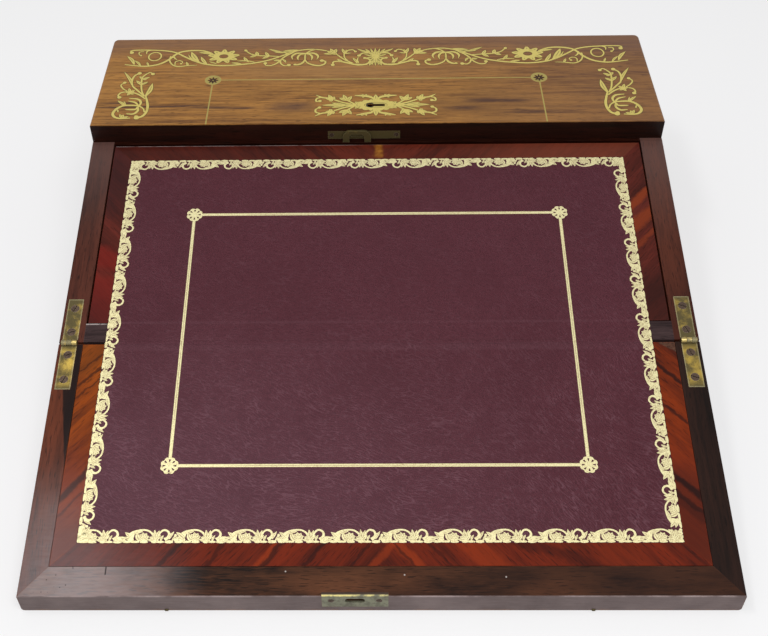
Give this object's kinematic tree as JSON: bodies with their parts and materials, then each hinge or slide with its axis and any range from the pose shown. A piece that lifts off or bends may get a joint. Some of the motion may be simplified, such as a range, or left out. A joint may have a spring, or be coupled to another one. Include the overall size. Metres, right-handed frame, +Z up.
{
  "type": "writing slope",
  "caption": "Rosewood writing slope, open: a folding lid, two lift-up leather flaps and a hinged lid with lock over pen tray and ink bottles.",
  "frame": {"origin": "centre of the whole open object's footprint, on the surface it stands on", "axes": "+X to the writer's right, +Y away from the writer, +Z up"},
  "size_m": [0.4, 0.4334, 0.0993],
  "materials": {
    "dark_rosewood": "french polished",
    "figured_rosewood": "french polished",
    "crossbanding": "french polished",
    "mahogany": "oiled",
    "leather": "waxed skiver, gold tooled",
    "brass": "aged, worn bright",
    "steel": "darkened",
    "glass": "clear"
  },
  "bodies": {
    "root": {"base_back": "dark_rosewood", "base_bottom": "mahogany", "base_front": "dark_rosewood", "base_hinge_screws": "steel", "base_left_side": "dark_rosewood", "base_right_side": "dark_rosewood", "cross_rail": "dark_rosewood", "cross_rail_leather": "leather", "hinge_pins": "steel", "left_hinge_base_leaf": "brass", "left_ink_bottle": "glass", "lock_staple": "brass", "pen_divider": "mahogany", "pen_hinge_base_leaves": "brass", "pen_hinge_base_screws": "steel", "pen_hinge_pins": "steel", "pen_tray": "mahogany", "pen_tray_ledges": "mahogany", "rear_flap_ledges": "mahogany", "right_hinge_base_leaf": "brass", "right_ink_bottle": "glass", "well_dividers": "mahogany", "well_floors": "mahogany", "well_partitions": "mahogany"},
    "writing_lid": {"left_hinge_lid_leaf": "brass", "lid_board": "mahogany", "lid_flap_ledges": "mahogany", "lid_fold_rail": "dark_rosewood", "lid_hinge_screws": "steel", "lid_left_side": "dark_rosewood", "lid_lip_rail": "dark_rosewood", "lid_right_side": "dark_rosewood", "lid_string_inlay": "brass", "lid_veneer": "figured_rosewood", "right_hinge_lid_leaf": "brass", "strike_plate": "brass", "strike_screws": "steel"},
    "front_flap": {"front_flap_board": "mahogany", "front_flap_leather": "leather", "front_flap_left_band": "crossbanding", "front_flap_lip_band": "crossbanding", "front_flap_right_band": "crossbanding"},
    "rear_flap": {"rear_flap_back_band": "crossbanding", "rear_flap_board": "mahogany", "rear_flap_leather": "leather", "rear_flap_left_band": "crossbanding", "rear_flap_right_band": "crossbanding"},
    "pen_lid": {"keyhole_escutcheon": "brass", "lock_case": "brass", "lock_key_post": "steel", "lock_screws": "steel", "pen_hinge_lid_leaves": "brass", "pen_hinge_lid_screws": "steel", "pen_lid_board": "dark_rosewood", "pen_lid_string_inlay": "brass", "pen_lid_veneer": "figured_rosewood"},
    "lock_bolt": {"lock_bolt": "brass"},
    "left_ink_cap": {"left_ink_cap": "brass"},
    "right_ink_cap": {"right_ink_cap": "brass"}
  },
  "joints": [
    {"name": "writing_lid_fold", "type": "hinge", "parent": "root", "child": "writing_lid", "pos_m": [0, -0.0583, 0.04964], "axis": [1, 0, 0], "range_deg": [-180, 0]},
    {"name": "front_flap_lift", "type": "hinge", "parent": "writing_lid", "child": "front_flap", "pos_m": [0, -0.05935, 0.04916], "axis": [-1, 0, 0], "range_deg": [0, 95]},
    {"name": "rear_flap_lift", "type": "hinge", "parent": "root", "child": "rear_flap", "pos_m": [0, -0.0437, 0.0526], "axis": [1, 0, 0], "range_deg": [0, 80]},
    {"name": "pen_lid_lift", "type": "hinge", "parent": "root", "child": "pen_lid", "pos_m": [0, 0.21495, 0.0843], "axis": [-1, 0, 0], "range_deg": [0, 100]},
    {"name": "lock_bolt_throw", "type": "slide", "parent": "pen_lid", "child": "lock_bolt", "axis": [0, -1, 0], "range_m": [0, 0.008]},
    {"name": "left_ink_cap_turn", "type": "hinge", "parent": "root", "child": "left_ink_cap", "pos_m": [-0.1626, 0.18295, 0.0695], "axis": [0, 0, 1], "range_deg": [0, 540]},
    {"name": "right_ink_cap_turn", "type": "hinge", "parent": "root", "child": "right_ink_cap", "pos_m": [0.1626, 0.18295, 0.0695], "axis": [0, 0, 1], "range_deg": [0, 540]}
  ]
}
